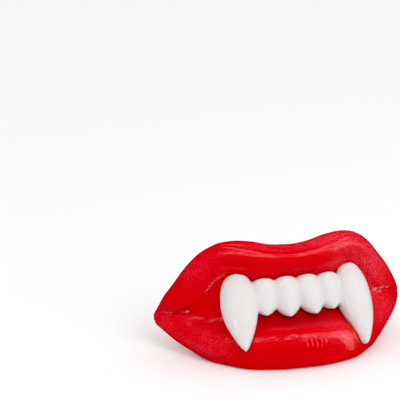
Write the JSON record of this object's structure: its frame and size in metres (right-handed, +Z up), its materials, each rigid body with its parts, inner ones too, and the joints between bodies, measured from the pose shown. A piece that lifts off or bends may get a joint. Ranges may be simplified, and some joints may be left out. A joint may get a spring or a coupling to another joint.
{
  "type": "novelty vampire fang lips mouthpiece",
  "caption": "Novelty wax lips with a row of white teeth and long fangs, arched to cover the mouth and held by biting the flat tab behind them.",
  "frame": {"origin": "on the surface that the part rests on, under the middle of its bounding box", "axes": "+X to the right as seen from the front, -Y the way the lips face, +Z up as the part rests by itself on its lower lip and its bite tab"},
  "size_m": [0.0766, 0.0304, 0.0333],
  "materials": {
    "red_wax": "satin red wax, slightly translucent, with fine casting and scuff marks",
    "white_wax": "satin white wax, slightly translucent"
  },
  "bodies": {
    "root": {"lips": "red_wax", "teeth": "white_wax", "bite_tab": "red_wax"}
  },
  "joints": []
}
